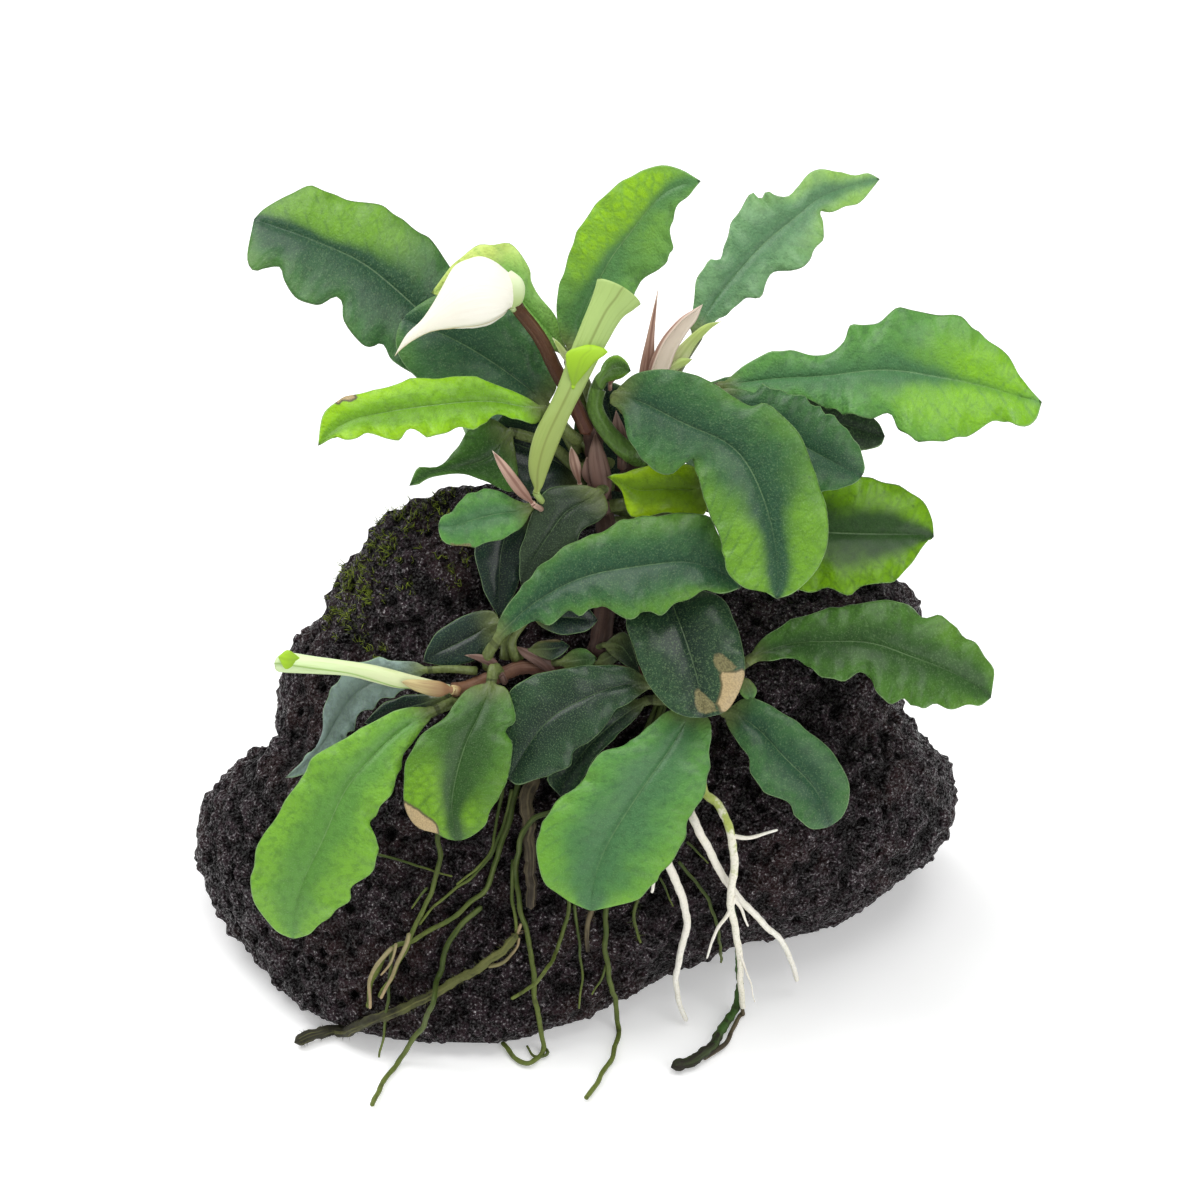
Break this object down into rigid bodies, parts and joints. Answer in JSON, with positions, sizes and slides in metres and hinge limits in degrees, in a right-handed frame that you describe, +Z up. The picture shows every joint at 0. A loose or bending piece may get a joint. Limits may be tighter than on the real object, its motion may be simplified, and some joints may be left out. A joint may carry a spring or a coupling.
{
  "type": "bucephalandra on stone",
  "caption": "Bucephalandra plant in flower growing over a rounded lump of black lava stone, its roots trailing down the stone and onto the surface.",
  "frame": {"origin": "on the stone's flat resting face, near its middle", "axes": "+Z up, +X to the right and -Y towards the viewer of the side that the plant leans over"},
  "size_m": [0.1196, 0.0977, 0.1064],
  "materials": {
    "lava_rock": "matte",
    "stem_brown": "satin",
    "spathe_cream": "satin",
    "sheath_pink_brown": "satin",
    "leaf_dark": "satin",
    "leaf_mid": "satin",
    "leaf_lime": "satin",
    "leaf_pale": "satin",
    "leaf_underside": "matte",
    "root_ivory": "satin",
    "root_green": "satin",
    "root_brown": "matte"
  },
  "bodies": {
    "root": {"lava_stone": "lava_rock", "rhizome_creeping": "stem_brown", "rhizome_crown": "stem_brown", "shoot_left": "stem_brown", "shoot_right": "stem_brown", "flower_stalk": "stem_brown", "spathe": "spathe_cream", "sheath_spike": "sheath_pink_brown", "sheath_pink": "sheath_pink_brown", "sheath_left": "sheath_pink_brown", "sheath_rolled_leaf": "sheath_pink_brown", "sheath_crown": "stem_brown", "sheath_spear": "leaf_lime", "leaf_upper_left": "leaf_dark", "leaf_behind_spathe_dark": "leaf_dark", "leaf_behind_spathe_lime": "leaf_lime", "leaf_top_centre": "leaf_mid", "leaf_top_right": "leaf_dark", "leaf_right_large": "leaf_mid", "leaf_centre_large": "leaf_mid", "leaf_right_notched": "leaf_dark", "leaf_right_olive": "leaf_dark", "leaf_right_bright": "leaf_lime", "leaf_crown_yellow": "leaf_lime", "leaf_front_horizontal": "leaf_mid", "leaf_left_bright": "leaf_lime", "leaf_left_dark": "leaf_dark", "leaf_left_small": "leaf_mid", "leaf_crown_hanging": "leaf_dark", "leaf_shaded_vertical": "leaf_dark", "leaf_shaded_left": "leaf_dark", "leaf_rolled_left": "leaf_pale", "leaf_underside_grey": "leaf_underside", "leaf_low_left": "leaf_mid", "leaf_low_centre": "leaf_mid", "leaf_low_dark": "leaf_dark", "leaf_low_shaded": "leaf_dark", "leaf_bottom_large": "leaf_mid", "leaf_patched": "leaf_dark", "leaf_right_low": "leaf_mid", "leaf_right_bottom": "leaf_dark", "leaf_young_rolled": "leaf_pale", "leaf_crown_folded": "leaf_dark", "leaf_under_horizontal": "leaf_dark", "leaf_small_green": "leaf_mid", "leaf_back_left": "leaf_dark", "leaf_back_right": "leaf_dark", "leaf_back_low": "leaf_dark", "root_white_short": "root_ivory", "root_white_right": "root_ivory", "root_white_long": "root_ivory", "root_green_left": "root_green", "root_forked": "root_green", "root_forked_long": "root_green", "root_hooked": "root_green", "root_centre": "root_green", "root_side": "root_green", "root_mossy": "root_brown", "root_old": "root_brown", "root_right_floor": "root_brown"}
  },
  "joints": []
}
